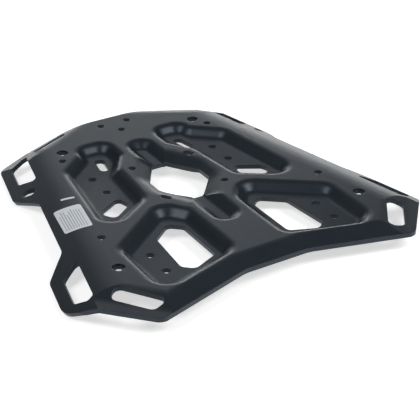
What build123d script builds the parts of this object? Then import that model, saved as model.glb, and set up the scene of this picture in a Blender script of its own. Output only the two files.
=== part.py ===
from build123d import *
import math
import os

# Pressed sheet luggage rack for a motorcycle tail. All lengths in millimetres, all angles in degrees.
# The rack is drawn with its origin midway between the two rear bolt holes, on the level top face:
# +X to the right, +Y to the narrow front edge, +Z up. It is moved to the centre of its base at the end.

# Sheet and pressing
sheet = 4.0
wall_slope = 45.0
press_round = 10.0
floor_round = 8.0
side_depth = 8.2
trough_depth = 6.8
trough_slope = 36.5
trough_floor_round = 6.0
dish_depth = 5.6
dish_slope = 22.0
dish_round = 20.0

# Side flanges: the direction they fall in, their bend and their outer edge, measured down the flange
flange_turn = 12.2
flange_bend_at = 141.7
flange_slope = 31.5
flange_radius = 77.5
front_ear_reach = 33.4
rear_ear_reach = 32.9
notch_reach = 12.6

# Turned down edges: direction, distance of the bend from the origin, slope, radius
front_skirt = (61.0, 233.9, 23.5, 28.0)
front_corner_skirt = (40.0, 207.6, 25.7, 40.0)
rear_edge = 49.4
rear_skirt_width = 17.6
rear_skirt_slope = 14.6
rear_skirt_radius = 22.0
rear_edge_turn = -105.6
rear_edge_side = 39.1
corner_turn = -42.5
corner_step_at = 113.5
corner_step_drop = 4.6
corner_step_slope = 16.0
corner_step_rounds = (34.0, 30.0)
lead_in = 2.0
hair = 0.001

# Outline of the front edge and the rear corners
front_edge = 251.4
ear_front = 235.8
corner_edge = 142.0

# Bolt holes
bolt_seat = 10.6
bolt_hole = 6.6
seat_depth = 1.4
plain_hole = 7.2
rear_bolts = 120.0
front_bolts = (70.9, 204.8)
side_holes = (110.6, 48.2)
front_side_holes = (78.3, 189.5)
nose_holes = (14.1, 237.1)
nose_centre_hole = 220.7
rear_floor_holes = (83.8, 0.5, 27.4)
front_floor_holes = (64.25, 142.4, 28.4)
hub = (0.0, 112.0)
hub_holes = (30.2, 31.5)
hub_slot = (11.0, 6.6, 65.0)

# Pressed pockets, right side: x, y and corner radius of the floor outline
rear_pocket = [
    (30.9, -17.5, 6),
    (99.2, -38.3, 10),
    (99.2, 21.6, 8),
    (43.1, 64.1, 9),
    (30.9, 48.0, 7),
]
front_pocket = [
    (31.2, 199.5, 6),
    (50.9, 199.5, 6),
    (52.7, 188.1, 15),
    (79.0, 165.3, 7),
    (93.5, 66.0, 8),
    (53.0, 93.0, 7),
    (47.5, 152.0, 16),
    (31.2, 177.0, 7),
]
# The trough down the middle and the shallow dish round the middle window, right half
trough_floor = [
    (4.8, 184.6, 4.7),
    (4.8, 28.2, 4.7),
]
dish_floor = [
    (7.0, 149.5, 6),
    (22.6, 121.0, 14),
    (22.6, 99.5, 14),
    (6.5, 72.0, 6),
]

# Openings cut through the sheet: x, y and corner radius
rear_window = [
    (36.0, -11.5, 6),
    (61.5, -22.5, 7),
    (70.8, -14.0, 6),
    (66.5, 34.5, 6),
    (46.5, 50.5, 5),
    (35.8, 41.0, 5),
]
hub_window = [
    (6.0, 149.2, 4),
    (26.2, 118.0, 5),
    (26.2, 100.5, 5),
    (5.5, 76.0, 4),
]
side_window = [
    (57.5, 98.0, 5),
    (79.0, 83.0, 5),
    (85.5, 93.5, 5),
    (83.0, 100.5, 5),
    (61.0, 113.5, 4),
]
corner_window = [
    (109.0, -55.0, 4),
    (134.8, -19.5, 6),
    (144.0, -32.0, 6),
    (122.5, -61.5, 6),
    (113.0, -59.5, 4),
]
# Ear openings, in the flange: distance along the bend, distance down the flange, corner radius
front_ear_window = [
    (189.0, 22.8, 4),
    (199.0, 11.3, 4),
    (200.5, 5.3, 2),
    (148.5, 5.3, 4),
    (157.5, 22.8, 5),
]
rear_ear_window = [
    (-12.5, 21.9, 4),
    (-1.8, 9.6, 4),
    (-0.4, 5.0, 2),
    (-50.5, 5.0, 4),
    (-54.5, 10.5, 4),
    (-48.5, 21.9, 5),
]
ear_outline = [
    (201.5, front_ear_reach, 10),
    (138.4, front_ear_reach, 12),
    (109.4, notch_reach, 6),
    (22.7, notch_reach, 12),
    (-4.2, rear_ear_reach, 10),
    (-50.5, rear_ear_reach, 20),
    (-79.5, 0, 0),
    (-300, 0, 0),
    (-300, -420, 0),
    (300, -420, 0),
    (300, 0, 0),
    (211.3, 0, 0),
]


def flat(corners):
    """A level face through the listed x, y, corner radius."""
    face = make_face(Polyline([(x, y) for x, y, r in corners], close=True))
    for x, y, r in corners:
        if r > 0:
            face = fillet(face.vertices().sort_by_distance((x, y, 0))[0], r)
    return face


def both(shape):
    """The shape and its mirror image on the other side of the rack."""
    return shape + mirror(shape, Plane.YZ)


def half_tangent(angle):
    return math.tan(math.radians(angle / 2))


def above_bend(turn, bends, skin):
    """Space above a sheet that is level and then bends along lines square to the turn direction.

    bends: distance of the bend from the origin, slope after it, radius. The sheet is skin below z 0."""
    line = []
    slope = height = at = 0
    for place, next_slope, radius in bends:
        height -= (place - at) * math.tan(math.radians(slope))
        middle = math.radians((slope + next_slope) / 2)
        turned = next_slope - slope
        reach = skin / math.cos(math.radians(turned / 2))
        corner_radius = radius - skin if turned > 0 else radius + skin
        line.append((place - reach * math.sin(middle), height - reach * math.cos(middle), corner_radius))
        at = place
        slope = next_slope
    last_at, last_height = line[-1][:2]
    line.append((450, last_height - (450 - last_at) * math.tan(math.radians(slope)), 0))
    line.append((450, 60, 0))
    start = line[0][0] - line[0][2] * half_tangent(bends[0][1]) - lead_in
    line.append((start, 60, 0))
    line.append((start, -skin, 0))
    away = math.radians(turn)
    section = Plane(
        origin=(0, 0, 0),
        x_dir=(math.cos(away), math.sin(away), 0),
        z_dir=(math.sin(away), -math.cos(away), 0),
    )
    return extrude(section * flat(line), 450, both=True)


def skirts(skin):
    """Spaces above the side flanges and the turned down edges."""
    spaces = [above_bend(flange_turn, [(flange_bend_at, flange_slope, flange_radius)], skin)]
    step_run = corner_step_drop / math.tan(math.radians(corner_step_slope))
    first_round, second_round = corner_step_rounds
    step = [(corner_step_at, corner_step_slope, first_round), (corner_step_at + step_run, 0, second_round)]
    spaces.append(above_bend(corner_turn, step, skin))
    for turn, place, slope, radius in (front_skirt, front_corner_skirt):
        spaces.append(above_bend(turn, [(place, slope, radius)], skin))
    spaces = [space for right in spaces for space in (right, mirror(right, Plane.YZ))]
    rear_bend = [(rear_edge - rear_skirt_width, rear_skirt_slope, rear_skirt_radius)]
    slant_bend = [(rear_edge_side - rear_skirt_width, rear_skirt_slope, rear_skirt_radius)]
    slant = above_bend(rear_edge_turn, slant_bend, skin)
    spaces.append(slant & mirror(slant, Plane.YZ) & above_bend(-90, rear_bend, skin))
    return spaces


def pocket(corners, depth, slope, skin):
    """Space above a pressed pocket, with sloping walls that widen upwards."""
    floor = offset(flat(corners), skin * half_tangent(slope) + hair)
    return extrude(Plane.XY.offset(-depth - skin) * floor, depth + 0.5, taper=slope - 90)


def on_level(shape, height):
    """Level faces of the shape at one height."""
    return [f for f in shape.faces().filter_by(Plane.XY) if abs(f.center().Z - height) < 0.01]


def pressed(corners, depth, slope, rim_round, low_round, skin):
    """Space above a pocket, its rim and its floor rounded like pressed sheet.

    Only the upper face is rounded: the lower one keeps the plain bends of the walls."""
    space = pocket(corners, depth, slope, skin)
    if skin > 0:
        return space
    size = space.bounding_box()
    middle = size.center()
    slab = Pos(middle.X, middle.Y, -15) * Box(size.size.X + 60, size.size.Y + 60, 30)
    hollow = slab - space
    hollow = fillet(on_level(hollow, 0)[0].inner_wires().edges(), rim_round)
    if low_round > 0:
        hollow = fillet(on_level(hollow, -depth)[0].outer_wire().edges(), low_round)
    return slab - hollow


def right_and_left(corners):
    """One outline made of the corners on the right and their mirror images on the left."""
    return corners + [(-x, y, r) for x, y, r in reversed(corners)]


def form(skin):
    """Everything below the sheet, skin below its upper surface."""
    body = Pos(0, 100, -skin - 40) * Box(620, 620, 80)
    for space in skirts(skin):
        body -= space
    trough = right_and_left(trough_floor)
    body -= pressed(trough, trough_depth, trough_slope, press_round, trough_floor_round, skin)
    dish = right_and_left(dish_floor)
    body -= pressed(dish, dish_depth, dish_slope, dish_round, 0, skin)
    for corners in (rear_pocket, front_pocket):
        space = pressed(corners, side_depth, wall_slope, press_round, floor_round, skin)
        body -= space
        body -= mirror(space, Plane.YZ)
    return body


def through(face):
    """A cutter straight down through the whole sheet."""
    return extrude(face, 60, both=True)


def in_flange(corners):
    """A prism square to the right side flange: corners along the bend, down the flange, radius."""
    turn = math.radians(flange_turn)
    slope = math.radians(flange_slope)
    outward = Vector(math.cos(turn), math.sin(turn), 0)
    bend = Vector(-math.sin(turn), math.cos(turn), 0)
    normal = outward * math.sin(slope) + Vector(0, 0, math.cos(slope))
    face = Plane(origin=outward * flange_bend_at, x_dir=bend, z_dir=-normal)
    return extrude(face * flat(corners), 300, both=True)


def drill(x, y, width):
    return Pos(x, y, 0) * Cylinder(width / 2, 120)


def slot(x, y, long, wide, turn):
    return through(Pos(x, y, 0) * Rot(0, 0, turn) * SlotOverall(long, wide))


# The sheet: the block below the upper surface less the block below the lower surface
outline = [
    (47.5, front_edge, 20),
    (92.5, ear_front, 15),
    (200.0, ear_front, 0),
]
turn = math.radians(corner_turn)
away_x = 190.0
outline += [
    (away_x, (corner_edge - away_x * math.cos(turn)) / math.sin(turn), 0),
    (122.5, -75.4, 9),
    (31.4, -rear_edge, 30),
]
blank = through(flat(right_and_left(outline)))
ears = in_flange(ear_outline)
blank = blank & ears & mirror(ears, Plane.YZ)
rack = (blank & form(0)) - form(sheet)

# Bolt holes with a seat pressed round them
seats = [
    (rear_bolts, 0.0),
    front_bolts,
]
for x, y in seats:
    for side in (-x, x):
        rack -= drill(side, y, bolt_hole)
        rack -= Pos(side, y, 10 - seat_depth) * Cylinder(bolt_seat / 2, 20)

# Plain round holes
plain = [side_holes, front_side_holes, nose_holes]
for x, y, apart in (rear_floor_holes, front_floor_holes):
    plain += [(x, y - apart / 2), (x, y + apart / 2)]
for x, y in plain:
    for side in (-x, x):
        rack -= drill(side, y, plain_hole)
rack -= drill(0, nose_centre_hole, plain_hole)

# Two round holes and two slots round the middle window
across_hub, along_hub = hub_holes
long, wide, slot_turn = hub_slot
rack -= drill(-across_hub, hub[1] + along_hub, plain_hole)
rack -= drill(across_hub, hub[1] - along_hub, plain_hole)
rack -= slot(across_hub, hub[1] + along_hub, long, wide, -slot_turn)
rack -= slot(-across_hub, hub[1] - along_hub, long, wide, -slot_turn)

# Windows and slots on both sides
openings = through(flat(rear_window)) + through(flat(side_window)) + through(flat(corner_window))
openings += slot(43.2, 177.3, 23.5, 8.6, -12)
openings += slot(70.2, 235.5, 43, 5.4, -23.5)
openings += in_flange(front_ear_window)
openings += in_flange(rear_ear_window)
openings += in_flange([(140.5, 17.2, 2.7), (136.5, 21.4, 2.7), (130.7, 15.6, 2.7), (134.7, 11.4, 2.7)])
rack -= both(openings)
rack -= through(flat(right_and_left(hub_window)))

# Base centre to the origin
size = rack.bounding_box()
rack = Pos(0, -size.center().Y, -size.min.Z) * rack
rack.label = "rack"

os.makedirs("parts", exist_ok=True)
export_step(rack, "parts/rack.step")
print("shift", -size.center().Y, -size.min.Z, "size", size.size, "volume", rack.volume, rack.is_valid)
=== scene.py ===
import math
import bmesh
import bpy
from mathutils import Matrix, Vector
from mathutils.bvhtree import BVHTree
from mathutils.kdtree import KDTree


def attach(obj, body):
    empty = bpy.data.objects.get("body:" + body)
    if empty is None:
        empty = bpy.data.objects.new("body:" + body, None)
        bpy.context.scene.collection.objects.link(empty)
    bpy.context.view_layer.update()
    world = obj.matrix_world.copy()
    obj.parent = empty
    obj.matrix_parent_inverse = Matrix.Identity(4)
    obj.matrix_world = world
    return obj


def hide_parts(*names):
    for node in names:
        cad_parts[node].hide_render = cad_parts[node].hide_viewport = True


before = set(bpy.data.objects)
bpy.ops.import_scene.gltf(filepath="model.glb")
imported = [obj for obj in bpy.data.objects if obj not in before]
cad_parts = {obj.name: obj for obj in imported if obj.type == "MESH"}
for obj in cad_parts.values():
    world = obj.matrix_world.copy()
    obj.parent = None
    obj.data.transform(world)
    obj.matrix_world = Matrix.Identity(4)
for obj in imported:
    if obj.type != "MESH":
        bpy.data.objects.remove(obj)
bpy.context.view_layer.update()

# The coat: satin black powder coat over the whole pressed aluminium sheet, sprayed and baked.
# It has a faint mottle, a fine orange peel and a bluish shine, and is unworn.
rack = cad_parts["rack"]
coat = bpy.data.materials.new("satin_powder_coat")
coat.use_nodes = True
nodes = coat.node_tree.nodes
links = coat.node_tree.links
shader = nodes["Principled BSDF"]
shader.inputs["Specular IOR Level"].default_value = 0.5
shader.inputs["Specular Tint"].default_value = (0.75, 0.89, 1.0, 1)
place = nodes.new("ShaderNodeTexCoord")

mottle = nodes.new("ShaderNodeTexNoise")
mottle.inputs["Scale"].default_value = 45.0
mottle.inputs["Detail"].default_value = 3.0
tint = nodes.new("ShaderNodeValToRGB")
tint.color_ramp.elements[0].position = 0.3
tint.color_ramp.elements[0].color = (0.0110, 0.0152, 0.0215, 1)
tint.color_ramp.elements[1].position = 0.7
tint.color_ramp.elements[1].color = (0.0135, 0.0182, 0.0250, 1)
links.new(place.outputs["Object"], mottle.inputs["Vector"])
links.new(mottle.outputs["Fac"], tint.inputs["Fac"])
links.new(tint.outputs["Color"], shader.inputs["Base Color"])

grain = nodes.new("ShaderNodeTexNoise")
grain.inputs["Scale"].default_value = 1500.0
grain.inputs["Detail"].default_value = 2.0
gloss = nodes.new("ShaderNodeMapRange")
gloss.inputs["To Min"].default_value = 0.34
gloss.inputs["To Max"].default_value = 0.42
links.new(place.outputs["Object"], grain.inputs["Vector"])
links.new(grain.outputs["Fac"], gloss.inputs["Value"])
links.new(gloss.outputs["Result"], shader.inputs["Roughness"])

rounded_edges = nodes.new("ShaderNodeBevel")
rounded_edges.samples = 6
rounded_edges.inputs["Radius"].default_value = 0.0008
peel = nodes.new("ShaderNodeBump")
peel.inputs["Strength"].default_value = 0.12
peel.inputs["Distance"].default_value = 0.0003
links.new(grain.outputs["Fac"], peel.inputs["Height"])
links.new(rounded_edges.outputs["Normal"], peel.inputs["Normal"])
links.new(peel.outputs["Normal"], shader.inputs["Normal"])
rack.data.materials.clear()
rack.data.materials.append(coat)

# The rack plate: the pressed sheet, with two short slots punched through its front pockets.
# The source has those slots lying across. So the plate is a copy of its sheet in which they are
# closed, the lengthwise pair is cut, and the small slot in each ear is opened out.
# Each place below is across, ahead and the turn on the right side, and the left mirrors it.
slot_length = 0.0235
slot_width = 0.0086
crossing_slot = (0.0432, 0.0887, math.radians(-12))
lengthwise_slot = (0.0440, 0.0887, math.radians(101))
ear_slot_length = 0.0130
ear_slot_width = 0.0088
ear_slot = (0.1235, 0.0769, math.radians(45))
round_end_steps = 12
punch_height = 0.03
wall_margin = 0.0002


def off_slot_line(point, place):
    """How far a point of the plate lies from the middle line of its side's slot."""
    x, y, turn = place
    aside = abs(point.x) - x
    ahead = point.y - y
    along = aside * math.cos(turn) + ahead * math.sin(turn)
    across = ahead * math.cos(turn) - aside * math.sin(turn)
    beyond = max(0.0, abs(along) - (slot_length - slot_width) / 2)
    return math.hypot(beyond, across)


def punched(place, length, width):
    """Cuts the plate with two upright punches with round ends, one for each side."""
    x, y, turn = place
    corners = []
    faces = []
    for side in (1, -1):
        outline = []
        for end, start in ((1, -90), (-1, 90)):
            for step in range(round_end_steps + 1):
                angle = math.radians(start + 180 * step / round_end_steps)
                along = end * (length - width) / 2 + width / 2 * math.cos(angle)
                across = width / 2 * math.sin(angle)
                outline.append((
                    side * (x + along * math.cos(turn) - across * math.sin(turn)),
                    y + along * math.sin(turn) + across * math.cos(turn),
                ))
        if side < 0:
            outline.reverse()
        first = len(corners)
        count = len(outline)
        corners += [(across, ahead, 0.0) for across, ahead in outline]
        corners += [(across, ahead, punch_height) for across, ahead in outline]
        faces.append(tuple(range(first + count - 1, first - 1, -1)))
        faces.append(tuple(range(first + count, first + 2 * count)))
        for index in range(count):
            after = (index + 1) % count
            faces.append((first + index, first + after, first + count + after, first + count + index))
    mesh = bpy.data.meshes.new("slot_punch")
    mesh.from_pydata(corners, [], faces)
    mesh.materials.append(coat)
    punch = bpy.data.objects.new("slot_punch", mesh)
    bpy.context.collection.objects.link(punch)
    cut = plate.modifiers.new("cut", "BOOLEAN")
    cut.operation = "DIFFERENCE"
    cut.solver = "EXACT"
    cut.object = punch
    scene_now = bpy.context.evaluated_depsgraph_get()
    cut_mesh = bpy.data.meshes.new_from_object(plate.evaluated_get(scene_now))
    plate.modifiers.clear()
    plate.data = cut_mesh
    bpy.data.objects.remove(punch)


sheet = bmesh.new()
sheet.from_mesh(rack.data)
bmesh.ops.remove_doubles(sheet, verts=sheet.verts, dist=1e-6)
slot_walls = []
for face in sheet.faces:
    upright = abs(face.normal.z) < 0.5
    off_line = off_slot_line(face.calc_center_median(), crossing_slot)
    if upright and off_line < slot_width / 2 + wall_margin:
        slot_walls.append(face)
bmesh.ops.delete(sheet, geom=slot_walls, context="FACES")
open_edges = [edge for edge in sheet.edges if edge.is_boundary]
closed = bmesh.ops.holes_fill(sheet, edges=open_edges, sides=0)
bmesh.ops.triangulate(sheet, faces=closed["faces"])
bmesh.ops.recalc_face_normals(sheet, faces=sheet.faces)
closed_mesh = bpy.data.meshes.new("rack_plate")
sheet.to_mesh(closed_mesh)
sheet.free()
closed_mesh.materials.append(coat)
plate = bpy.data.objects.new("rack_plate", closed_mesh)
bpy.context.collection.objects.link(plate)
punched(lengthwise_slot, slot_length, slot_width)
punched(ear_slot, ear_slot_length, ear_slot_width)
plate_mesh = plate.data

# Every curve keeps the sheet's own smooth shading, which is taken over corner by corner.
# A corner is the same where it lies within same_place and its face looks the same way.
same_place = 0.000005
same_way = 0.95
corner_shades = [[] for corner in rack.data.vertices]
corner_tree = KDTree(len(rack.data.vertices))
for corner in rack.data.vertices:
    corner_tree.insert(corner.co, corner.index)
corner_tree.balance()
for face in rack.data.polygons:
    for loop, index in zip(face.loop_indices, face.vertices):
        corner_shades[index].append((face.normal.copy(), rack.data.corner_normals[loop].vector.copy()))
plate_shades = []
for face in plate_mesh.polygons:
    for index in face.vertices:
        shade = face.normal
        closest = same_way
        spot = plate_mesh.vertices[index].co
        for place, twin, distance in corner_tree.find_range(spot, same_place):
            for facing, curve in corner_shades[twin]:
                if facing.dot(face.normal) > closest:
                    closest = facing.dot(face.normal)
                    shade = curve
        plate_shades.append(shade)
plate_mesh.shade_smooth()
plate_mesh.normals_split_custom_set(plate_shades)
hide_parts("rack")
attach(plate, "root")

# The foil label: a thin silver sticker on the left flange, printed with plain grey rules.
# Beside it sits a short bare strip of the same foil. Both are pressed on by hand, so they
# follow the flange and stand a tenth of a millimetre proud of it.
foil_thickness = 0.0001
foil_step = 0.001
foil_silver = (0.70, 0.73, 0.77, 1)
rule_grey = (0.38, 0.40, 0.43, 1)
rule_rows = 11.0
rule_share = 0.40
first_rule = 0.10
last_rule = 0.92
rule_start = 0.07
shortest_end = 0.70
ragged_by = 0.20
upper_face = BVHTree.FromPolygons(
    [corner.co for corner in rack.data.vertices],
    [face.vertices for face in rack.data.polygons],
)


def foil_finish(name, ruled):
    """Satin silver foil with a fine grain, with or without the printed rules."""
    finish = bpy.data.materials.new(name)
    finish.use_nodes = True
    nodes = finish.node_tree.nodes
    links = finish.node_tree.links
    shader = nodes["Principled BSDF"]
    place = nodes.new("ShaderNodeTexCoord")
    grain = nodes.new("ShaderNodeTexNoise")
    grain.inputs["Scale"].default_value = 900.0
    links.new(place.outputs["Object"], grain.inputs["Vector"])
    gloss = nodes.new("ShaderNodeMapRange")
    gloss.inputs["To Min"].default_value = 0.40
    gloss.inputs["To Max"].default_value = 0.50
    links.new(grain.outputs["Fac"], gloss.inputs["Value"])
    links.new(gloss.outputs["Result"], shader.inputs["Roughness"])
    wrinkle = nodes.new("ShaderNodeBump")
    wrinkle.inputs["Strength"].default_value = 0.10
    wrinkle.inputs["Distance"].default_value = 0.0002
    links.new(grain.outputs["Fac"], wrinkle.inputs["Height"])
    links.new(wrinkle.outputs["Normal"], shader.inputs["Normal"])
    if not ruled:
        shader.inputs["Base Color"].default_value = foil_silver
        return finish

    def worked_out(operation, first, second):
        """One step of sums for the print, on numbers or on other nodes' results."""
        node = nodes.new("ShaderNodeMath")
        node.operation = operation
        for socket, value in zip(node.inputs, (first, second)):
            if isinstance(value, float):
                socket.default_value = value
            else:
                links.new(value, socket)
        return node.outputs["Value"]

    flat = nodes.new("ShaderNodeUVMap")
    flat.uv_map = "flat"
    split = nodes.new("ShaderNodeSeparateXYZ")
    links.new(flat.outputs["UV"], split.inputs["Vector"])
    along = split.outputs["X"]
    across = split.outputs["Y"]
    row = worked_out("MULTIPLY", across, rule_rows)
    chance = nodes.new("ShaderNodeTexWhiteNoise")
    chance.noise_dimensions = "1D"
    links.new(worked_out("FLOOR", row, 0.0), chance.inputs["W"])
    ragged = worked_out("MULTIPLY", chance.outputs["Value"], ragged_by)
    row_end = worked_out("ADD", ragged, shortest_end)
    ink = worked_out("LESS_THAN", worked_out("FRACT", row, 0.0), rule_share)
    for limit in (
        worked_out("LESS_THAN", along, row_end),
        worked_out("GREATER_THAN", along, rule_start),
        worked_out("LESS_THAN", across, last_rule),
        worked_out("GREATER_THAN", across, first_rule),
    ):
        ink = worked_out("MULTIPLY", ink, limit)
    print_on = nodes.new("ShaderNodeMix")
    print_on.data_type = "RGBA"
    print_on.inputs["A"].default_value = foil_silver
    print_on.inputs["B"].default_value = rule_grey
    links.new(ink, print_on.inputs["Factor"])
    links.new(print_on.outputs["Result"], shader.inputs["Base Color"])
    return finish


def foil(name, middle, length, width, corner, turn, finish):
    """A closed foil patch with rounded corners, laid on the rack's upper face."""
    ends = []
    for angle in (math.radians(90), math.radians(60), math.radians(30), 0.0):
        ends.append((
            length / 2 - corner * (1 - math.sin(angle)),
            width / 2 - corner * (1 - math.cos(angle)),
        ))
    rows = [(-along, half) for along, half in ends]
    straight = length - 2 * corner
    steps = max(2, round(straight / foil_step))
    rows += [(straight * (step / steps - 0.5), width / 2) for step in range(1, steps)]
    rows += reversed(ends)
    columns = max(3, round(width / foil_step) + 1)
    tops = []
    feet = []
    flat = []
    for along, half in rows:
        for column in range(columns):
            across = half * (2 * column / (columns - 1) - 1)
            above = Vector((
                middle[0] + along * math.sin(turn) + across * math.cos(turn),
                middle[1] + along * math.cos(turn) - across * math.sin(turn),
                1.0,
            ))
            foot, outward = upper_face.ray_cast(above, Vector((0, 0, -1)))[:2]
            feet.append(foot)
            tops.append(foot + outward * foil_thickness)
            flat.append((along / length + 0.5, across / width + 0.5))
    count = len(tops)
    faces = []
    for row in range(len(rows) - 1):
        for column in range(columns - 1):
            first = row * columns + column
            quad = (first, first + 1, first + columns + 1, first + columns)
            faces.append(quad)
            faces.append(tuple(count + index for index in reversed(quad)))
    rim = list(range(columns))
    rim += [row * columns + columns - 1 for row in range(1, len(rows))]
    rim += [count - 1 - column for column in range(1, columns)]
    rim += [row * columns for row in range(len(rows) - 2, 0, -1)]
    for first, second in zip(rim, rim[1:] + rim[:1]):
        faces.append((second, first, first + count, second + count))
    mesh = bpy.data.meshes.new(name)
    mesh.from_pydata(tops + feet, [], faces)
    layer = mesh.uv_layers.new(name="flat")
    for loop in mesh.loops:
        layer.data[loop.index].uv = flat[loop.vertex_index % count]
    mesh.materials.append(finish)
    patch = bpy.data.objects.new(name, mesh)
    bpy.context.collection.objects.link(patch)
    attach(patch, "root")


ruled_foil = foil_finish("ruled_silver_foil", True)
bare_foil = foil_finish("bare_silver_foil", False)
foil(
    "foil_label",
    middle=(-0.1156, 0.0031),
    length=0.0396,
    width=0.0244,
    corner=0.0022,
    turn=math.radians(10.3),
    finish=ruled_foil,
)
foil(
    "foil_strip",
    middle=(-0.1049, 0.0353),
    length=0.0123,
    width=0.0029,
    corner=0.0006,
    turn=math.radians(107.8),
    finish=bare_foil,
)

# The floor: a wide white sheet without a seam, which keeps the rack's soft shadow.
# It is lit from below as well, as on a product table, so the openings show bright.
paper = bpy.data.materials.new("white_studio_paper")
paper.use_nodes = True
nodes = paper.node_tree.nodes
links = paper.node_tree.links
paper_shader = nodes["Principled BSDF"]
paper_shader.inputs["Base Color"].default_value = (0.80, 0.80, 0.80, 1)
paper_shader.inputs["Roughness"].default_value = 0.9
ray = nodes.new("ShaderNodeLightPath")
seen = nodes.new("ShaderNodeMath")
seen.operation = "MAXIMUM"
links.new(ray.outputs["Is Camera Ray"], seen.inputs[0])
links.new(ray.outputs["Is Glossy Ray"], seen.inputs[1])
glow = nodes.new("ShaderNodeEmission")
glow_strength = 0.62
lit = nodes.new("ShaderNodeMath")
lit.operation = "MULTIPLY"
lit.inputs[1].default_value = glow_strength
links.new(seen.outputs["Value"], lit.inputs[0])
links.new(lit.outputs["Value"], glow.inputs["Strength"])
both_lights = nodes.new("ShaderNodeAddShader")
links.new(paper_shader.outputs["BSDF"], both_lights.inputs[0])
links.new(glow.outputs["Emission"], both_lights.inputs[1])
links.new(both_lights.outputs["Shader"], nodes["Material Output"].inputs["Surface"])
reach = 60.0
drop = 0.0002
floor_corners = [
    (-reach, -reach, -drop),
    (reach, -reach, -drop),
    (reach, reach, -drop),
    (-reach, reach, -drop),
]
floor_mesh = bpy.data.meshes.new("studio_floor")
floor_mesh.from_pydata(floor_corners, [], [(0, 1, 2, 3)])
floor = bpy.data.objects.new("studio_floor", floor_mesh)
bpy.context.collection.objects.link(floor)
floor_mesh.materials.append(paper)

# The lamps: a soft box over each side of the rack, and a high and a low one beyond it.
# The room itself is dim, so the pressed walls that face the camera stay dark.
room = bpy.data.worlds.new("studio_room")
bpy.context.scene.world = room
room.use_nodes = True
sky = room.node_tree.nodes["Background"]
sky.inputs["Color"].default_value = (1, 1, 1, 1)
sky.inputs["Strength"].default_value = 0.08


def soft_box(name, toward, distance, width, height, power):
    """A rectangular lamp that faces the rack from the given direction."""
    lamp = bpy.data.lights.new(name, "AREA")
    lamp.shape = "RECTANGLE"
    lamp.size = width
    lamp.size_y = height
    lamp.energy = power
    box = bpy.data.objects.new(name, lamp)
    box.location = Vector(toward).normalized() * distance
    box.rotation_euler = (-box.location).to_track_quat("-Z", "Y").to_euler()
    bpy.context.collection.objects.link(box)


soft_box("left_box", (-0.605, 0.006, 0.796), distance=1.6, width=0.8, height=0.8, power=10)
soft_box("right_box", (0.455, -0.494, 0.741), distance=1.6, width=0.8, height=0.8, power=13)
soft_box("far_box", (0.38, 0.77, 0.56), distance=2.4, width=1.1, height=0.8, power=3)
soft_box("low_far_box", (0.44, 0.86, 0.09), distance=3.0, width=3.6, height=0.40, power=23)

# The camera: the photograph's place, measured from the rack's own holes and edges.
lens = bpy.data.cameras.new("camera")
lens.lens = 105.71
lens.sensor_width = 36.0
camera = bpy.data.objects.new("camera", lens)
stand = Vector((-0.49304, -0.83411, 0.54488))
aim = Vector((-0.0097, -0.04808, 0.02086))
camera.location = stand
camera.rotation_euler = (aim - stand).to_track_quat("-Z", "Y").to_euler()
bpy.context.collection.objects.link(camera)
bpy.context.scene.camera = camera
bpy.context.scene.view_settings.view_transform = "Standard"
